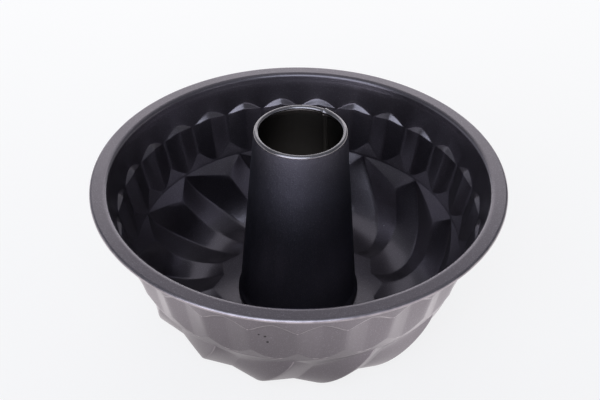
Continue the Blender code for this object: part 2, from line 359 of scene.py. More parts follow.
class Nodes:
    """A short way to write a tree of shader nodes."""

    def __init__(self, tree: bpy.types.NodeTree) -> None:
        """Take the tree that the nodes go into."""
        self.tree = tree

    def feed(self, node: bpy.types.Node, values: dict[str | int, object]) -> None:
        """Feed a node's inputs.

        Args:
            node: The node.
            values: For each input, a value for its socket or the output that feeds it.
        """
        for key, value in values.items():
            if isinstance(value, Output):
                self.tree.links.new(value, node.inputs[key])
            else:
                node.inputs[key].default_value = value

    def add(self, kind: str, values: dict[str | int, object] | None = None, **settings: object
            ) -> bpy.types.Node:
        """Add a node.

        Args:
            kind: The node's type in Blender.
            values: For each input, a value for its socket or the output that feeds it.
            settings: Properties of the node itself.

        Returns:
            The node.
        """
        node = self.tree.nodes.new(kind)
        for key, value in settings.items():
            setattr(node, key, value)
        self.feed(node, values or {})
        return node

    def place(self) -> Output:
        """The place of each point on its object."""
        return self.add("ShaderNodeTexCoord").outputs["Object"]

    def distance(self, place: Output, middle: Triple) -> Output:
        """How far a place is from a fixed point."""
        return self.add("ShaderNodeVectorMath", {0: place, 1: middle}, operation="DISTANCE").outputs["Value"]

    def math(self, operation: str, *values: object, clamp: bool = False) -> Output:
        """The result of a Math node on up to three values or outputs."""
        node = self.add("ShaderNodeMath", dict(enumerate(values)), operation=operation, use_clamp=clamp)
        return node.outputs[0]

    def noise(self, place: Output, scale: Output | float, detail: float, roughness: float = 0.5) -> Output:
        """The value of a noise texture at a place."""
        values = {"Vector": place, "Scale": scale, "Detail": detail, "Roughness": roughness}
        return self.add("ShaderNodeTexNoise", values).outputs["Fac"]

    def ramp(self, value: Output, low: Output | float, high: Output | float,
             to_low: float = 0.0, to_high: float = 1.0) -> Output:
        """A value from low to high, carried smoothly over to another span."""
        values = {"Value": value, "From Min": low, "From Max": high, "To Min": to_low, "To Max": to_high}
        return self.add("ShaderNodeMapRange", values, interpolation_type="SMOOTHSTEP").outputs["Result"]

    def mix(self, share: Output, first: Output | Triple, second: Output | Triple) -> Output:
        """A colour that goes from the first to the second as the share goes from 0 to 1."""
        a, b = (value if isinstance(value, Output) else (*value, 1.0) for value in (first, second))
        node = self.add("ShaderNodeMix", {"Factor": share, "A": a, "B": b}, data_type="RGBA")
        return node.outputs["Result"]


class FinishGroup:
    """A node group with named inputs and outputs, made once and used in more than one finish."""

    def __init__(self, name: str, inputs: dict[str, float], outputs: tuple[str, ...]) -> None:
        """Make the group's tree and its sockets, which all carry numbers.

        Args:
            name: The group's name.
            inputs: The inputs' names, with the values that they have where a material gives none.
            outputs: The outputs' names.
        """
        self.tree = bpy.data.node_groups.new(name, "ShaderNodeTree")
        for label, value in inputs.items():
            self.new_socket(label, "INPUT").default_value = value
        for label in outputs:
            self.new_socket(label, "OUTPUT")
        self.nodes = Nodes(self.tree)
        self.given = self.nodes.add("NodeGroupInput").outputs
        self.result = self.nodes.add("NodeGroupOutput")

    def new_socket(self, label: str, side: str) -> bpy.types.NodeTreeInterfaceSocket:
        """Add a socket for a number to one side of the group."""
        return self.tree.interface.new_socket(label, in_out=side, socket_type="NodeSocketFloat")

    def give(self, **outputs: Output) -> None:
        """Feed the group's outputs."""
        self.nodes.feed(self.result, outputs)

    def placed(self, nodes: Nodes, **values: object) -> bpy.types.NodeOutputs:
        """Place the group in a material, with its own values, and return its outputs."""
        return nodes.add("ShaderNodeGroup", values, node_tree=self.tree).outputs


class GrainGroup(FinishGroup):
    """Grain of a sprayed coat: fine pits over soft swells, and pale flecks of pigment.

    The height is a sum of two noises. A fleck shows where a third noise passes a threshold.
    """

    PIT_HEIGHT = 0.6
    SWELL_HEIGHT = 0.8
    FLECK_SPAN = (0.56, 0.72)

    def __init__(self) -> None:
        """Make the group."""
        super().__init__("sprayed grain", {"Pits": 2600.0, "Swells": 700.0, "Flecks": 3600.0},
                         ("Height", "Fleck"))
        nodes, place = self.nodes, self.nodes.place()
        pits = nodes.noise(place, self.given["Pits"], detail=2.0, roughness=0.6)
        swells = nodes.noise(place, self.given["Swells"], detail=1.0)
        flecks = nodes.noise(place, self.given["Flecks"], detail=1.0, roughness=0.7)
        swells = nodes.math("MULTIPLY", swells, self.SWELL_HEIGHT)
        self.give(Height=nodes.math("MULTIPLY_ADD", pits, self.PIT_HEIGHT, swells),
                  Fleck=nodes.ramp(flecks, *self.FLECK_SPAN))


class HandlingGroup(FinishGroup):
    """Marks of handling: broad faint clouds where a coat is a little duller, and thin smears.

    Clouds are a slow noise. Smears are a noise stretched along the height.
    """

    CLOUD_SPAN = (0.35, 0.7)
    CLOUD_DEPTH = 0.65
    SMEAR_SPAN = (0.5, 0.8)
    SMEAR_DEPTH = 0.35
    SMEAR_STRETCH = (1.0, 1.0, 0.22)

    def __init__(self) -> None:
        """Make the group."""
        super().__init__("handling marks", {"Clouds": 22.0, "Smears": 90.0}, ("Dull",))
        nodes, place = self.nodes, self.nodes.place()
        clouds = nodes.noise(place, self.given["Clouds"], detail=3.0, roughness=0.55)
        clouds = nodes.ramp(clouds, *self.CLOUD_SPAN, 0.0, self.CLOUD_DEPTH)
        stretched = nodes.add("ShaderNodeVectorMath", {0: place, 1: self.SMEAR_STRETCH}, operation="MULTIPLY")
        smears = nodes.noise(stretched.outputs[0], self.given["Smears"], detail=2.0)
        smears = nodes.ramp(smears, *self.SMEAR_SPAN)
        self.give(Dull=nodes.math("MULTIPLY_ADD", smears, self.SMEAR_DEPTH, clouds, clamp=True))


class EdgeGroup(FinishGroup):
    """Worn edges and painted edge highlights: a light colour where the sheet bends outwards sharply, broken
    up by a noise.
    """

    PATCH_SCALE = 160.0
    PATCH_SPAN = (0.3, 0.65)
    PATCH_LEAST = 0.45

    def __init__(self) -> None:
        """Make the group."""
        super().__init__("rubbed edges", {"Bend": 0.0, "Start": 220.0, "Full": 650.0}, ("Rubbed",))
        nodes, given = self.nodes, self.given
        bent = nodes.ramp(given["Bend"], given["Start"], given["Full"])
        patches = nodes.noise(nodes.place(), self.PATCH_SCALE, detail=3.0)
        patches = nodes.ramp(patches, *self.PATCH_SPAN, self.PATCH_LEAST)
        self.give(Rubbed=nodes.math("MULTIPLY", bent, patches, clamp=True))


@dataclass(frozen=True)
class FinishGroups:
    """The node groups that the finishes share, each made once."""

    grain: FinishGroup = field(default_factory=GrainGroup)
    handling: FinishGroup = field(default_factory=HandlingGroup)
    edges: FinishGroup = field(default_factory=EdgeGroup)


@dataclass(frozen=True, kw_only=True)
class Finish(ABC):
    """A finish of the mould's steel, with the sprayed grain as its relief.

    Attributes:
        name: The material's name.
        colour: Its main colour.
        roughness: How rough it is where it hasn't been handled.
        duller_by: How much rougher it is under the marks of handling.
        grain_depth: Depth of its grain.
    """

    name: str
    colour: Triple
    roughness: float
    duller_by: float
    grain_depth: float

    @abstractmethod
    def pattern(self, nodes: Nodes, groups: FinishGroups) -> dict[str, Output]:
        """Build what changes over the surface.

        Args:
            nodes: The material's nodes.
            groups: The node groups that it places.

        Returns:
            The outputs for Base Color, Roughness and Height.
        """

    def even_values(self) -> dict[str, object]:
        """Values of the shader's own sockets, the same all over."""
        return {"Metallic": 1.0}

    def material(self, groups: FinishGroups) -> bpy.types.Material:
        """Build the finish's material.

        Args:
            groups: The node groups that it places.

        Returns:
            The material.
        """
        material = bpy.data.materials.new(self.name)
        material.use_nodes = True
        nodes = Nodes(material.node_tree)
        pattern = self.pattern(nodes, groups)
        bump = nodes.add("ShaderNodeBump", {"Height": pattern.pop("Height"), "Distance": self.grain_depth,
                                            "Strength": 1.0})
        nodes.feed(material.node_tree.nodes["Principled BSDF"],
                   {**pattern, "Normal": bump.outputs["Normal"], **self.even_values()})
        return material


@dataclass(frozen=True)
class Chip:
    """A tiny spot where the coat is chipped or holds a crumb.

    Attributes:
        place: The spot's middle.
        radius: Its radius.
        shade: How light it is, from 0 for black.
        edge: Where its soft edge starts and ends, as shares of the radius.
    """

    place: Triple
    radius: float
    shade: float
    edge: Pair = (0.6, 1.15)

    def mask(self, nodes: Nodes) -> Output:
        """A mask that is 1 within the spot's radius."""
        inner, outer = (self.radius * share for share in self.edge)
        return nodes.ramp(nodes.distance(nodes.place(), self.place), inner, outer, 1.0, 0.0)


@dataclass(frozen=True, kw_only=True)
class Coat(Finish):
    """The anthracite non-stick coat: dark, half glossy, with a sprayed grain.

    Attributes:
        fleck_colour: Triple of the pigment's flecks.
        fleck_amount: How strongly they show.
        fleck_roughness: How much rougher they are.
        wear_and_highlight_colour: Triple of the worn edges, which is also a painted highlight along them.
        wear_and_highlight_amount: How strongly they show.
        edge_tint: How much of the light that grazes the coat it mirrors.
        clear_weight: How much of the thin clear layer lies on it.
        clear_roughness: How rough that layer is.
        pit_scale: Scale of the grain's pits and flecks.
        swell_scale: Scale of the grain's swells.
        chips: Its chips and crumbs.
    """

    colour: Triple = (0.178, 0.163, 0.180)
    roughness: float = 0.29
    duller_by: float = 0.07
    grain_depth: float = 0.00004
    fleck_colour: Triple = (0.27, 0.255, 0.28)
    fleck_amount: float = 0.9
    fleck_roughness: float = 0.05
    wear_and_highlight_colour: Triple = (0.55, 0.51, 0.53)
    wear_and_highlight_amount: float = 0.8
    edge_tint: float = 1.0
    clear_weight: float = 0.5
    clear_roughness: float = 0.16
    pit_scale: float = 1800.0
    swell_scale: float = 700.0
    chips: tuple[Chip, ...] = ()

    def pattern(self, nodes: Nodes, groups: FinishGroups) -> dict[str, Output]:
        """Flecks, then worn edges with painted highlights where the attribute bend is high, then chips, one
        over the other.

        Args:
            nodes: The material's nodes.
            groups: The node groups that it places.

        Returns:
            The outputs for Base Color, Roughness and Height.
        """
        grain = groups.grain.placed(nodes, Pits=self.pit_scale, Flecks=self.pit_scale,
                                    Swells=self.swell_scale)
        bend = nodes.add("ShaderNodeAttribute", attribute_name="bend").outputs["Fac"]
        worn_and_highlit = groups.edges.placed(nodes, Bend=bend)["Rubbed"]
        dull = groups.handling.placed(nodes)["Dull"]
        colour = nodes.mix(nodes.math("MULTIPLY", grain["Fleck"], self.fleck_amount),
                           self.colour, self.fleck_colour)
        # Sharp outward bends get a light colour: wear, and also a painted highlight along the edges.
        colour = nodes.mix(nodes.math("MULTIPLY", worn_and_highlit, self.wear_and_highlight_amount), colour, self.wear_and_highlight_colour)
        for chip in self.chips:
            colour = nodes.mix(chip.mask(nodes), colour, (chip.shade,) * 3)
        rough = nodes.math("MULTIPLY_ADD", dull, self.duller_by, self.roughness)
        rough = nodes.math("MULTIPLY_ADD", grain["Fleck"], self.fleck_roughness, rough, clamp=True)
        return {"Base Color": colour, "Roughness": rough, "Height": grain["Height"]}

    def even_values(self) -> dict[str, object]:
        """Values of the shader's own sockets, the same all over."""
        return {**super().even_values(), "Specular Tint": (*(self.edge_tint,) * 3, 1.0),
                "Coat Weight": self.clear_weight, "Coat Roughness": self.clear_roughness}


@dataclass(frozen=True, kw_only=True)
class BareSteel(Finish):
    """Steel without the coat: the polished curl, or the dark and dull inside of the tube.

    Attributes:
        tint: Its colour under the marks of handling.
    """

    duller_by: float = 0.12
    grain_depth: float = 0.000006
    tint: Triple

    def pattern(self, nodes: Nodes, groups: FinishGroups) -> dict[str, Output]:
        """A warm tint in clouds, and the coat's grain made finer.

        Args:
            nodes: The material's nodes.
            groups: The node groups that it places.

        Returns:
            The outputs for Base Color, Roughness and Height.
        """
        grain = groups.grain.placed(nodes, Pits=3400.0, Swells=1200.0)
        dull = groups.handling.placed(nodes, Clouds=40.0, Smears=160.0)["Dull"]
        rough = nodes.math("MULTIPLY_ADD", dull, self.duller_by, self.roughness, clamp=True)
        return {"Base Color": nodes.mix(dull, self.colour, self.tint), "Roughness": rough,
                "Height": grain["Height"]}


def dress(piece: bpy.types.Object, node: str, materials: list[bpy.types.Material]) -> None:
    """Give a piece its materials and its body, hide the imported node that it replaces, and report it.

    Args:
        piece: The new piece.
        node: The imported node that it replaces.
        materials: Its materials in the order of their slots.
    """
    for material in materials:
        piece.data.materials.append(material)
    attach(piece, "root")
    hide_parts(node)
    LOG.info("%s: %d faces, stands for %s", piece.name, len(piece.data.polygons), node)


@dataclass
class Crease:
    """A line down a flute, which turns clockwise on its way from the wall to the floor.

    Attributes:
        azimuth: Azimuth of its top.
        twist: How far it turns on its way down.
        early: How much of the turn comes early.
        spread: How much of it comes at both ends instead of the middle.
        start: Its top as (radius, depth).
        leave: Step from the top to the first handle of its curve.
        end: Its foot on the floor as (radius, depth).
        arrive: Step from the foot back to the second handle.
    """

    azimuth: float
    twist: float
    early: float
    spread: float
    start: Pair
    leave: Pair
    end: Pair
    arrive: Pair

    def points(self, rows: int, rim_height: float) -> Array:
        """Points at even steps along the crease.

        The profile is a cubic Bezier curve in radius and depth. The azimuth falls by twist times
        s + early s (1 - s) - spread s (1 - s) (1 - 2 s), with s the share of the profile's length.

        Args:
            rows: Number of steps.
            rim_height: Height of the rim's top plane.

        Returns:
            Points as (rows + 1, 3).
        """
        t = CURVE_SHARES
        start, end = np.array(self.start), np.array(self.end)
        curve = ((1 - t) ** 3 * start + 3 * (1 - t) ** 2 * t * (start + self.leave)
                 + 3 * (1 - t) * t ** 2 * (end + self.arrive) + t ** 3 * end)
        length = np.append(0.0, np.cumsum(np.hypot(*np.diff(curve, axis=0).T)))
        share = np.linspace(0.0, 1.0, rows + 1)
        radius, depth = (np.interp(share * length[-1], length, curve[:, side]) for side in (0, 1))
        early = share * (1 - share)
        swing = share + self.early * early - self.spread * early * (1 - 2 * share)
        return polar(radius, self.azimuth - self.twist * swing, rim_height - depth)


@dataclass
class Bowl:
    """The pressed bowl: rim, scalloped wall, ring, spiral flutes and floor, as one sheet.

    Its cooking side is laid as a grid of rows from the rolled edge to the hole in the floor, and the other
    side follows it at the sheet's thickness. A field whose name ends in reach says how far the rounding of
    an edge or corner reaches to each side, and one that ends in rows how many rows a stretch is laid in.
    """

    rim_radius: float
    rim_height: float
    sheet: float = 0.0005
    coat: Coat = Coat(name="bowl_coating", chips=(
        Chip((-0.0200, -0.1027, 0.0692), 0.00062, 0.0), Chip((-0.0168, -0.1022, 0.0673), 0.0008, 0.0),
        Chip((-0.0156, -0.1013, 0.0622), 0.00085, 0.0), Chip((0.0585, 0.0564, 0.0092), 0.0006, 0.8)))

    # The rim: a rolled edge, a flat flange, the mouth's fillet and a hair-fine step where the wall is sized.
    roll_radius: float = 0.00135
    roll_start: float = -1.08 * math.pi
    roll_steps: int = 18
    flange_width: float = 0.0095
    flange_shares: tuple[float, ...] = (0.06, 0.5, 0.94)
    mouth_fillet: float = 0.0029
    fillet_steps: int = 8
    wall_draft: float = math.radians(12.0)
    sizing_depth: float = 0.0044
    sizing_fade: float = 0.0006
    sizing_step: float = 0.00005
    sizing_shares: tuple[float, ...] = (0.3, 0.7, 1.0)
    wall_rows: int = 3

    # The panels: the ledge over each one, its pressed middle crease, and the ribs between two of them.
    # Two are shares of the way from a rib to a crease: over panel_rounding the ledge's line turns at its
    # corners, and over ledge_gap the ledge stays closed beside the rib.
    panels: int = 26
    rim_start: float = math.pi / 2
    facet_columns: int = 7
    panel_rounding: float = 0.09
    ledge_peak: float = 0.0170
    ledge_end: float = 0.0226
    ledge_arch: float = 0.0009
    ledge_gap: float = 0.13
    ledge_reach: float = 0.0007
    ledge_rows: int = 1
    panel_crease: float = 0.0197
    panel_press: float = 0.0022
    panel_rib: float = 0.0008
    panel_reach: float = 0.0005
    lip_corner_reach: float = 0.0017
    facet_rows: int = 8
    panel_foot: float = 0.0414
    panel_tip: float = 0.0500
    tip_press: float = 0.0010
    foot_arch: float = 0.07
    foot_corner_reach: float = 0.0022
    skirt_rows: int = 3

    # The ring: a small step under the panels' tips.
    ring_depth: float = 0.0505
    ring_press: float = 0.0009
    ring_step: float = 0.0010
    ring_inset: float = 0.0003
    ring_reach: float = 0.00035
    ring_rows: int = 3

    # The flutes: in turn a narrow blade from channel to ridge and a wide hollow from ridge to channel.
    # A crease starts with the share crease_first of its reach, and has all of it from the share
    # crease_growth of the way down.
    flutes: int = 14
    blade_columns: int = 8
    hollow_columns: int = 18
    flute_rows: int = 34
    channel_azimuth: float = math.radians(11.9)
    channel_foot: float = 0.0491
    ridge_lag: float = math.radians(7.0)
    ridge_top: float = 0.0620
    ridge_inset: float = 0.0051
    ridge_foot: float = 0.0546
    crease_reach: float = 0.0011
    crease_first: float = 0.55
    crease_growth: float = 0.25
    face_bulge: float = 0.0010
    bulge_fade: float = 2.4
    flute_reach: float = 0.0006
    least_gap: float = 0.0003

    # The raised floor and its hole.
    floor_depth: float = 0.0911
    floor_turn: float = math.radians(13.0)
    floor_rows: int = 7
    hole_radius: float = 0.0346

    # How much more or less than elsewhere the edges are worn and painted with highlights.
    roll_wear_and_highlight: float = 0.65
    inside_wear_and_highlight: float = 0.3
    ledge_wear_and_highlight: float = 1.5
    ring_wear_and_highlight: float = 4.0

    def wall_radius(self, depth: Numbers) -> Numbers:
        """Radius of the plain conical wall at a depth."""
        return self.rim_radius - self.flange_width - math.tan(self.wall_draft) * depth

    def ring_radius(self) -> float:
        """Radius of the ring's edge, which is pressed in from the cone."""
        return self.wall_radius(self.ring_depth) - self.ring_press

    def column_count(self) -> int:
        """Number of columns, which both the panels and the flutes divide."""
        return self.panels * 2 * self.facet_columns

    def flute_shift(self) -> int:
        """The even column that lies nearest to the first channel crease."""
        return round((self.channel_azimuth - self.rim_start) / FULL_TURN * self.column_count())

    def even_azimuths(self, start: float, shift: int = 0) -> Array:
        """Even azimuths of all columns, with the given one at column number shift."""
        return start + FULL_TURN * (np.arange(self.column_count()) - shift) / self.column_count()

    def rim_keys(self, azimuth: Array) -> list[Row]:
        """Rows of the rolled edge, the flat flange, the mouth's fillet and the sizing step under it.

        Args:
            azimuth: Azimuth of each column.

        Returns:
            The rows from the roll's hidden end to the wall.
        """
        roll_centre = (self.rim_radius - self.roll_radius, -self.roll_radius)
        roll = arc(roll_centre, self.roll_radius, self.roll_start, math.pi / 2, self.roll_steps)
        turn = math.pi / 2 - self.wall_draft
        mouth = self.rim_radius - self.flange_width
        centre = (mouth + self.mouth_fillet * math.tan(turn / 2), -self.mouth_fillet)
        fillet = arc(centre, self.mouth_fillet, math.pi / 2, math.pi / 2 + turn, self.fillet_steps)
        flange = roll[-1] + np.array(self.flange_shares)[:, None] * (fillet[0] - roll[-1])
        fade = np.linspace(0.0, 1.0, 3)
        depths = self.sizing_depth + self.sizing_fade * fade
        sizing = np.stack([self.wall_radius(depths) + self.sizing_step * (1.0 - fade), -depths], axis=-1)
        fillet[-len(self.sizing_shares):, 0] += self.sizing_step * np.array(self.sizing_shares)
        profile = np.concatenate([roll, flange, fillet, sizing])
        rows = [Row(polar(radius, azimuth, self.rim_height + height)) for radius, height in profile]
        return [*rows[:-1], Row(rows[-1].points, plain=self.wall_rows)]

    def panel_run(self, columns: Columns, depths: Pair, press: float, reach: float) -> Array:
        """A run right round from rib to middle crease to rib, with rounded corners.

        Args:
            columns: The panels' columns.
            depths: Depth of its corners on the ribs and on the creases.
            press: How far the creases are pressed in from the cone.
            reach: How far the rounding of its corners reaches.

        Returns:
            Points as (columns, 3).
        """
        corner = np.arange(columns.corners)
        depth = np.where(corner % 2, depths[1], depths[0])
        radius = self.wall_radius(depth) + np.where(corner % 2, -press, self.panel_rib)
        azimuth = self.rim_start + FULL_TURN / columns.corners * corner
        return columns.run(polar(radius, azimuth, self.rim_height - depth)[None], reach)[0]

    def panel_keys(self, columns: Columns, azimuth: Array) -> list[Row]:
        """Rows of the ledges, the panels under them and the triangles between their feet.

        A panel's two halves are spanned by straight lines between a rib, which stands out, and the middle
        crease, which is pressed in. The upper edge of its ledge is an arch on the cone. Towards the ribs the
        panel's upper edge rises to the ledge's, so that the ledge closes there.

        Args:
            columns: The panels' columns.
            azimuth: Azimuth of each column.

        Returns:
            The rows of the ledge's upper edge, the panel's upper edge and its foot.
        """
        before, after = columns.weights(self.panel_rounding, self.panel_rounding)
        across = np.where(columns.home % 2, 1.0 - before - after, before + after)
        rise = np.maximum(across - self.ledge_gap, 0.0) / (1.0 - self.ledge_gap)
        depth = self.ledge_end + (self.ledge_peak - self.ledge_end) * rise - self.ledge_arch * arch(rise)
        radius = self.wall_radius(depth) + self.panel_rib * (1.0 - across)
        edge = polar(radius, azimuth, self.rim_height - depth)
        lip = self.panel_run(columns, (self.ledge_end + self.least_gap, self.panel_crease),
                             self.panel_press, self.lip_corner_reach)
        closed = edge - np.array([0.0, 0.0, self.least_gap])
        lip = closed + (lip - closed) * np.minimum(rise / self.ledge_gap, 1.0)[:, None]
        foot = self.panel_run(columns, (self.panel_foot, self.panel_tip), self.tip_press,
                              self.foot_corner_reach)
        foot = lip + (foot - lip) * (1.0 + self.foot_arch * arch(across))[:, None]
        return [Row(edge, self.ledge_reach, self.ledge_rows), Row(lip, self.panel_reach, self.facet_rows),
                Row(foot, self.panel_reach, self.skirt_rows)]

    def ring_keys(self) -> list[Row]:
        """Rows of the ring's edge and of the small step under it.

        Returns:
            The two rows.
        """
        radius, height = self.ring_radius(), self.rim_height - self.ring_depth
        ring = polar(radius, self.even_azimuths(self.rim_start), height)
        around = self.even_azimuths(self.channel_azimuth, self.flute_shift())
        under = polar(radius - self.ring_inset, around, height - self.ring_step)
        return [Row(ring, self.ring_reach), Row(under, self.ring_reach, self.ring_rows)]

    def creases(self) -> tuple[Crease, Crease]:
        """The two lines down the first flute.

        Returns:
            The first channel crease and the ridge crease beside it.
        """
        lip = self.ring_depth + self.ring_step + self.least_gap
        channel = Crease(
            azimuth=self.channel_azimuth, twist=math.radians(23.0), early=0.46, spread=0.81,
            start=(self.ring_radius() - self.ring_inset, lip), leave=(0.0, 0.0092),
            end=(self.channel_foot, self.floor_depth), arrive=(0.0376, 0.0216))
        ridge = Crease(
            azimuth=self.channel_azimuth + self.ridge_lag, twist=math.radians(15.8), early=0.05, spread=0.0,
            start=(self.wall_radius(self.ridge_top) - self.ridge_inset, self.ridge_top),
            leave=(-0.0051, 0.0085), end=(self.ridge_foot, self.floor_depth), arrive=(0.0325, 0.0071))
        return channel, ridge

    def flute_grid(self) -> Array:
        """All flutes from their lip to the floor's outline.

        Between its two creases each face is spanned by straight lines. A hollow face also swells outwards by
        bulge 4 a (1 - a) (1 - s)^fade, with a the share across it and s the share of the way down.

        Returns:
            Points as (rows, columns, 3).
        """
        columns = Columns.crowded(self.flutes, (self.blade_columns, self.hollow_columns), self.flute_shift())
        channel, ridge = (crease.points(self.flute_rows, self.rim_height) for crease in self.creases())
        pitch = FULL_TURN / self.flutes
        corners = np.stack([turned(line, pitch * number) for number in range(self.flutes)
                            for line in (channel, ridge)], axis=1)
        down = np.linspace(0.0, 1.0, self.flute_rows + 1)[:, None]
        growth = self.crease_first + (1.0 - self.crease_first) * np.minimum(down / self.crease_growth, 1.0)
        grid = columns.run(corners, self.crease_reach * growth)

        first, following = ridge, turned(channel, pitch)
        outward = unit(np.cross(following - first, -np.gradient(first + following, axis=0)))
        segment = columns.segment()
        swell = self.face_bulge * arch(columns.across()) * (segment % 2) * (1.0 - down) ** self.bulge_fade
        return grid + swell[..., None] * turned(outward[:, None], pitch * (segment // 2))

    def floor_key(self) -> Row:
        """The edge of the hole in the floor."""
        around = self.even_azimuths(self.channel_azimuth - self.floor_turn, self.flute_shift())
        return Row(polar(self.hole_radius, around, self.rim_height - self.floor_depth))

    def build(self) -> bpy.types.Object:
        """Build the bowl's mesh. The edges inside get less wear and painted highlight than those of the
        ledges and the ring.

        Returns:
            The bowl's object.
        """
        columns = Columns.crowded(self.panels, (self.facet_columns, self.facet_columns))
        azimuth = self.rim_start + FULL_TURN / columns.corners * (columns.segment() + columns.across())
        flutes = self.flute_grid()
        keys = [*self.rim_keys(azimuth), *self.panel_keys(columns, azimuth), *self.ring_keys(),
                Row(flutes[0], self.flute_reach), *(Row(points) for points in flutes[1:-1]),
                Row(flutes[-1], self.flute_reach, self.floor_rows), self.floor_key()]
        grid, bend = closed_shell(surface_rows(keys), self.sheet)
        inside, outside = np.array_split(bend, 2)
        # These factors scale the worn edges and their painted highlights; the ring's is the strongest.
        roll_end = self.roll_steps + 2
        inside[:roll_end] *= self.roll_wear_and_highlight
        inside[roll_end:] *= self.inside_wear_and_highlight
        depth = self.rim_height - grid[len(grid) // 2:, :, 2]
        outside[depth < self.panel_foot] *= self.ledge_wear_and_highlight
        outside[np.abs(depth - self.ring_depth) < self.ring_step] *= self.ring_wear_and_highlight
        return grid_object("bowl_shell", grid, bend)

    def make(self, groups: FinishGroups) -> None:
        """Build the bowl and dress it in its coat."""
        dress(self.build(), "bowl", [self.coat.material(groups)])


class TubeFace(Enum):
    """The finishes of the tube's faces, by the number of their material slot."""

    COAT = 0
    CURL = 1
    BORE = 2


@dataclass
class Tube:
    """The centre tube: a rolled strip with a curled top edge, a bead on the floor and a lip under it.

    Its outer skin is laid as a grid of rows from the lip to the end of the curl, and the inner one follows
    it.
    """

    top_height: float
    floor_height: float
    floor_sheet: float
    coat: Coat = Coat(name="tube_coating", colour=(0.164, 0.161, 0.193), fleck_colour=(0.26, 0.255, 0.29),
                      roughness=0.38, edge_tint=0.15, clear_weight=0.0, grain_depth=0.00015,
                      swell_scale=1500.0)
    curl_steel: BareSteel = BareSteel(name="curl_steel", colour=(0.31, 0.30, 0.31),
                                      tint=(0.24, 0.23, 0.235), roughness=0.16)
    bore_steel: BareSteel = BareSteel(name="bore_steel", colour=(0.088, 0.085, 0.080),
                                      tint=(0.068, 0.064, 0.058), roughness=0.38)
    seam_steel: BareSteel = BareSteel(name="seam_steel", colour=(0.18, 0.175, 0.168),
                                      tint=(0.13, 0.125, 0.118), roughness=0.30)

    # The wall: a plain cone between the curl and the flared foot, slightly out of true. Its columns crowd
    # at the seam, the more the nearer crowding is to 1.
    sheet: float = 0.0005
    columns: int = 176
    crowding: float = 0.86
    top_radius: float = 0.0266
    base_radius: float = 0.0364
    wall_rows: int = 25
    lean: Pair = (0.0008, -0.0007)
    curl_radius: float = 0.00145
    curl_end: float = math.radians(255.0)
    curl_steps: int = 18

    # The foot: a flare down to the bead on the floor, the neck in the hole and the lip under the floor.
    flare_height: float = 0.0055
    flare_rows: int = 8
    bead_radius: float = 0.0012
    bead_reach: float = 0.0016
    bead_steps: int = 8
    neck_inset: float = 0.0021
    lip_width: float = 0.0034
    seat_gap: float = 0.0003

    # The lock seam: a folded bar in the bore, a groove outside, and the step of the strip's end at the curl.
    # Past seam_step along the wall the bar has the share seam_thin of its thickness, and at its ends the
    # share seam_tip of its section.
    seam_azimuth: float = math.radians(57.0)
    seam_width: float = 0.0032
    seam_thickness: float = 0.0009
    seam_round: float = 0.00028
    seam_step: float = -0.00016
    seam_thin: float = 0.62
    seam_sunk: float = 0.0001
    seam_tip: float = 0.02
    seam_rows: int = 12
    seam_end_gap: float = 0.0025
    seam_top_gap: float = 0.00058
    groove_width: float = 0.0005
    groove_depth: float = 0.00022
    overlap_height: float = 0.0008
    overlap_edge: float = 0.0005
    overlap_length: float = 0.0045

    def curl_centre(self) -> Pair:
        """Centre (r, z) of the curl's circle."""
        return self.top_radius - self.curl_radius, self.top_height - self.curl_radius

    def profile(self) -> tuple[Array, int]:
        """The outer skin's profile (r, z) from the lip to the end of the curl.

        With s the share of its height the flare's radius is base + reach (1 - s)^2 (1 + 2 s).

        Returns:
            The profile's points and the number of the curl's first one.
        """
        bead_bottom = self.floor_height + self.seat_gap
        lip_top = self.floor_height - self.floor_sheet - self.seat_gap
        neck = self.base_radius - self.neck_inset
        lip = [(neck + self.lip_width, lip_top), (neck + self.lip_width / 2, lip_top), (neck, lip_top),
               (neck, bead_bottom)]
        bead_middle = bead_bottom + self.bead_radius
        bead_centre = (self.base_radius + self.bead_reach - self.bead_radius, bead_middle)
        bead = arc(bead_centre, self.bead_radius, -math.pi / 2, 0.0, self.bead_steps)
        share = np.linspace(0.0, 1.0, self.flare_rows + 2)[1:-1]
        flare = np.stack([self.base_radius + self.bead_reach * (1.0 - share) ** 2 * (1.0 + 2.0 * share),
                          bead_middle + self.flare_height * share], axis=-1)
        curl = arc(self.curl_centre(), self.curl_radius, 0.0, self.curl_end, self.curl_steps)
        share = np.linspace(0.0, 1.0, self.wall_rows + 1)[:-1, None]
        foot = np.array([self.base_radius, bead_middle + self.flare_height])
        under_curl = np.concatenate([lip, bead, flare, foot * (1.0 - share) + curl[0] * share])
        return np.concatenate([under_curl, curl]), len(under_curl)

    def azimuths(self) -> Array:
        """Azimuths of the columns, which crowd at the seam: seam + a - crowding sin(a)."""
        even = np.linspace(0.0, FULL_TURN, self.columns, endpoint=False)
        return self.seam_azimuth + even - self.crowding * np.sin(even)

    def build(self) -> bpy.types.Object:
        """Build the tube's mesh, with the joint of its seam as a groove on the outer side.

        Returns:
            The tube's object.
        """
        profile, curl_row = self.profile()
        azimuth = self.azimuths()
        aside = (azimuth - self.seam_azimuth + math.pi) % FULL_TURN - math.pi
        groove = self.groove_depth * np.exp(-(aside * self.base_radius / self.groove_width) ** 2)
        skin = polar(profile[:, :1] - groove, azimuth, profile[:, 1:])
        skin += self.overlap(profile, curl_row, aside, azimuth)
        grid, bend = closed_shell(skin, self.sheet)
        tube = grid_object("tube_shell", self.leaned(grid), bend)
        rows = np.repeat(np.arange(len(grid)), self.columns)
        slots = np.select([rows < curl_row, rows < len(grid) - curl_row],
                          [TubeFace.COAT.value, TubeFace.CURL.value], TubeFace.BORE.value)
        tube.data.polygons.foreach_set("material_index", slots.astype(np.int32))
        return tube

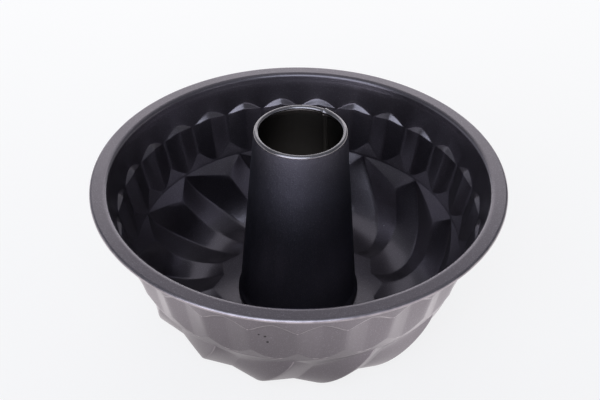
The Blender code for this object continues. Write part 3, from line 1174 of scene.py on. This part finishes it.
    def overlap(self, profile: Array, curl_row: int, aside: Array, azimuth: Array) -> Array:
        """Where the strip's end lies over its start, the curl stands proud and then sinks back.

        The step rises over half a millimetre at the seam and fades clockwise of it.

        Args:
            profile: The outer skin's profile.
            curl_row: The curl's first row.
            aside: How far each column is from the seam, as an angle.
            azimuth: Azimuth of each column.

        Returns:
            Steps for the skin's points as (rows, columns, 3).
        """
        along = -aside * self.top_radius
        rise = np.clip(along / self.overlap_edge + 0.5, 0.0, 1.0)
        proud = self.overlap_height * rise * np.exp(-np.maximum(along, 0.0) / self.overlap_length)
        away = (profile - self.curl_centre()) / self.curl_radius
        away[:curl_row] = 0.0
        return polar(away[:, :1] * proud, azimuth, away[:, 1:] * proud)

    def leaned(self, points: Array) -> Array:
        """Move points to the front right in step with their height, as the tube stands out of true."""
        rise = (points[..., 2:] - self.floor_height) / (self.top_height - self.floor_height)
        return points + np.maximum(rise, 0.0) * np.array([*self.lean, 0.0])

    def build_seam(self) -> bpy.types.Object:
        """Build the lock seam: a flat fold of the strip that runs down the inside of the wall.

        Its section is a rounded bar with a step, given as (along the wall, into the bore), which is carried
        along the wall's straight line. The ends are drawn together to a closed edge.

        Returns:
            The seam's object.
        """
        profile, curl_row = self.profile()
        foot, top = profile[curl_row - self.wall_rows], profile[curl_row]
        slope = (top - foot) / (top[1] - foot[1])
        low, high = foot + slope * self.seam_end_gap, top - slope * self.seam_top_gap
        half, thick, edge = self.seam_width / 2, self.seam_thickness, self.seam_round
        corners = [arc((half - edge, thick - edge), edge, 0.0, math.pi / 2, 4),
                   arc((self.seam_step, thick - edge * 1.5), edge / 2, math.pi / 2, math.pi, 3),
                   arc((edge - half, thick * self.seam_thin - edge), edge, math.pi / 2, math.pi, 4)]
        back = [(-half, 0.0), (-half, -self.seam_sunk), (half, -self.seam_sunk)]
        section = np.concatenate([[(half, 0.0)], *corners, back])
        share = np.pad(np.linspace(0.0, 1.0, self.seam_rows), 1, mode="edge")[:, None]
        shrink = np.ones_like(share)
        shrink[[0, -1]] = self.seam_tip
        line = low * (1.0 - share) + high * share
        along, inward = section[:, 0] * shrink, section[:, 1] * shrink + self.sheet
        points = np.stack([line[:, :1] - inward, along, np.broadcast_to(line[:, 1:], along.shape)], axis=-1)
        return grid_object("lock_seam", self.leaned(turned(points, self.seam_azimuth)))

    def make(self, groups: FinishGroups) -> None:
        """Build the tube and its lock seam and dress them.

        Args:
            groups: The node groups that their finishes share.
        """
        finishes = {TubeFace.COAT: self.coat, TubeFace.CURL: self.curl_steel, TubeFace.BORE: self.bore_steel}
        dress(self.build(), "centre_tube",
              [finishes[face].material(groups) for face in TubeFace])
        dress(self.build_seam(), "centre_tube", [self.seam_steel.material(groups)])


@dataclass(frozen=True)
class PhotoCamera:
    """The camera at the photograph's place, which looks down at the mould from in front.

    Attributes:
        target: The middle of the mouth, at which the base direction points.
        distance: How far the camera is from it.
        elevation: How far the base direction looks down.
        tilt: How much further down the camera turns.
        yaw: How far it turns to the right.
        roll: How far it leans, so that the picture turns clockwise.
        lens: Focal length in millimetres.
        sensor: Width of the sensor in millimetres.
        nearest: From which distance on it sees.
    """

    target: Vector
    distance: float = 0.5324
    elevation: float = math.radians(36.638)
    tilt: float = math.radians(1.784)
    yaw: float = math.radians(0.104)
    roll: float = math.radians(0.482)
    lens: float = 54.98
    sensor: float = 36.0
    nearest: float = 0.01

    def build(self) -> None:
        """Make the camera and set it as the scene's."""
        base = Vector((0.0, math.cos(self.elevation), -math.sin(self.elevation)))
        turn = (Matrix.Rotation(-self.yaw, 4, "Z")
                @ Matrix.Rotation(math.pi / 2 - self.elevation - self.tilt, 4, "X")
                @ Matrix.Rotation(self.roll, 4, "Z"))
        camera = linked_object("camera", bpy.data.cameras.new("camera"))
        camera.matrix_world = Matrix.Translation(self.target - base * self.distance) @ turn
        camera.data.lens = self.lens
        camera.data.sensor_width = self.sensor
        camera.data.clip_start = self.nearest
        bpy.context.scene.camera = camera


@dataclass(frozen=True)
class Softbox:
    """A soft lamp that faces the mould.

    Attributes:
        name: The lamp's name.
        azimuth: Where it hangs round the axis, in degrees.
        elevation: How high it hangs, in degrees.
        size: Its width and height.
        power: Its power in watts.
        colour: Its colour.
        distance: How far it is from the mould.
    """

    name: str
    azimuth: float
    elevation: float
    size: Pair
    power: float
    colour: Triple = (0.97, 0.97, 1.14)
    distance: float = 1.8

    def build(self) -> None:
        """Make the lamp."""
        lamp = bpy.data.lights.new(self.name, "AREA")
        lamp.shape = "RECTANGLE"
        lamp.size, lamp.size_y = self.size
        lamp.energy = self.power
        lamp.color = self.colour
        azimuth, elevation = math.radians(self.azimuth), math.radians(self.elevation)
        level = self.distance * math.cos(elevation)
        place = Vector((level * math.cos(azimuth), level * math.sin(azimuth),
                        self.distance * math.sin(elevation)))
        obj = linked_object(self.name, lamp)
        obj.matrix_world = Matrix.Translation(place) @ place.to_track_quat("Z", "Y").to_matrix().to_4x4()
        obj.visible_camera = False


@dataclass
class Studio:
    """A white table without an edge, a white room and soft lamps.

    Attributes:
        table_size: Side of the table.
        paper: Triple of the paper on it.
        seen_glow: How much of the table's look is its own white where the camera sees it.
        mirrored_glow: How much of it is its own white in the mould's reflections.
        seen_painted_light_strength: That white's strength in front and at the back, as the camera sees it;
            brighter at the back, a painted light.
        seen_span: Where along Y it goes from one to the other.
        mirrored_painted_shadow_strength: Its strength in reflections, in a painted shadow of the mould and
            outside it.
        mirrored_span: How far from the painted shadow's middle it goes from one to the other.
        mirrored_colour: Its colour in reflections.
        painted_shadow_middle: The middle of the painted shadow.
        room_light: Strength of the room's light.
        room_colour: Triple of that light.
        lamps: The lamps.
    """

    table_size: float = 6.0
    paper: Triple = (0.88, 0.88, 0.88)
    seen_glow: float = 0.74
    mirrored_glow: float = 1.0
    seen_painted_light_strength: Pair = (1.05, 1.15)
    seen_span: Pair = (-0.25, 0.55)
    mirrored_painted_shadow_strength: Pair = (0.56, 1.08)
    mirrored_span: Pair = (0.045, 0.105)
    mirrored_colour: Triple = (1.0, 0.95, 0.98)
    painted_shadow_middle: Triple = (-0.02, -0.07, 0.0)
    room_light: float = 0.20
    room_colour: Triple = (0.93, 0.97, 1.10)
    lamps: tuple[Softbox, ...] = (
        Softbox("front window", -110, 10, (2.5, 0.63), 13.0),
        Softbox("front right", -50, 11, (1.3, 0.66), 2.0),
        Softbox("front softbox", -104, 40, (2.0, 1.25), 12.4, (0.92, 1.0, 1.17)),
        Softbox("back wall", 92, 9, (2.3, 0.6), 6.5, (1.0, 0.99, 1.03)),
        Softbox("back softbox", 91, 34, (1.5, 0.66), 3.15, (1.0, 0.97, 1.0)),
        Softbox("overhead", 90, 80, (1.6, 1.9), 1.6, (1.0, 0.98, 1.06)),
        Softbox("left wall", 155, 17, (2.0, 1.0), 1.6, (0.96, 0.98, 1.1)),
        Softbox("right wall", 24, 9, (1.9, 0.6), 0.9, (1.0, 0.96, 0.9)),
    )

    def build(self) -> None:
        """Make the table, the room and the lamps."""
        half = self.table_size / 2
        mesh = bpy.data.meshes.new("table")
        mesh.from_pydata([(-half, -half, 0), (half, -half, 0), (half, half, 0), (-half, half, 0)], [],
                         [(0, 1, 2, 3)])
        mesh.materials.append(self.table_material())
        linked_object("table", mesh)
        for lamp in self.lamps:
            lamp.build()
        self.light_room()
        LOG.info("stage: table and %d lamps", len(self.lamps))

    def table_material(self) -> bpy.types.Material:
        """White paper: seen or mirrored it is nearly white by itself, and still takes a faint shadow.

        Returns:
            The material.
        """
        material = bpy.data.materials.new("white_paper")
        material.use_nodes = True
        tree = material.node_tree
        nodes = Nodes(tree)
        tree.nodes.remove(tree.nodes["Principled BSDF"])
        place, path = nodes.place(), nodes.add("ShaderNodeLightPath").outputs
        seen = path["Is Camera Ray"]
        # Seen by the camera the table's glow is painted brighter towards the back, a painted light.
        back = nodes.add("ShaderNodeSeparateXYZ", {0: place}).outputs["Y"]
        # In reflections the table's glow is painted darker round a point in front of the mould, a painted
        # shadow.
        away = nodes.distance(place, self.painted_shadow_middle)
        strength = nodes.add("ShaderNodeMix", {
            "Factor": seen, "A": nodes.ramp(away, *self.mirrored_span, *self.mirrored_painted_shadow_strength),
            "B": nodes.ramp(back, *self.seen_span, *self.seen_painted_light_strength)}).outputs["Result"]
        glow = nodes.add("ShaderNodeEmission", {"Color": nodes.mix(seen, self.mirrored_colour, WHITE),
                                                "Strength": strength})
        mirrored = nodes.math("MULTIPLY", path["Is Glossy Ray"], self.mirrored_glow)
        share = nodes.math("MULTIPLY_ADD", seen, self.seen_glow, mirrored)
        paper = nodes.add("ShaderNodeBsdfDiffuse", {"Color": (*self.paper, 1.0)})
        both = nodes.add("ShaderNodeMixShader", {0: share, 1: paper.outputs[0], 2: glow.outputs[0]})
        nodes.feed(tree.nodes["Material Output"], {"Surface": both.outputs[0]})
        return material

    def light_room(self) -> None:
        """Light the room evenly in a cool white; seen directly, past the table's edge, it is plain white."""
        world = bpy.context.scene.world or bpy.data.worlds.new("room")
        bpy.context.scene.world = world
        world.use_nodes = True
        nodes = Nodes(world.node_tree)
        seen = nodes.add("ShaderNodeLightPath").outputs["Is Camera Ray"]
        light = tuple(self.room_light * share for share in self.room_colour)
        nodes.feed(world.node_tree.nodes["Background"], {"Color": nodes.mix(seen, light, WHITE),
                                                         "Strength": 1.0})


def main() -> None:
    """Load the frame, read its sizes, and build the stage and the mould."""
    logging.basicConfig(level=logging.INFO, format="%(name)s %(message)s")
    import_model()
    (_, _, _), (rim_radius, _, rim_height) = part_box("bowl")
    (_, _, _), (_, _, tube_top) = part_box("centre_tube")

    PhotoCamera(Vector((0.0, 0.0, rim_height))).build()
    Studio().build()
    bpy.context.scene.view_settings.view_transform = "Standard"

    groups = FinishGroups()
    bowl = Bowl(rim_radius, rim_height)
    tube = Tube(tube_top, rim_height - bowl.floor_depth, bowl.sheet)
    bowl.make(groups)
    tube.make(groups)


if __name__ == "__main__":
    main()
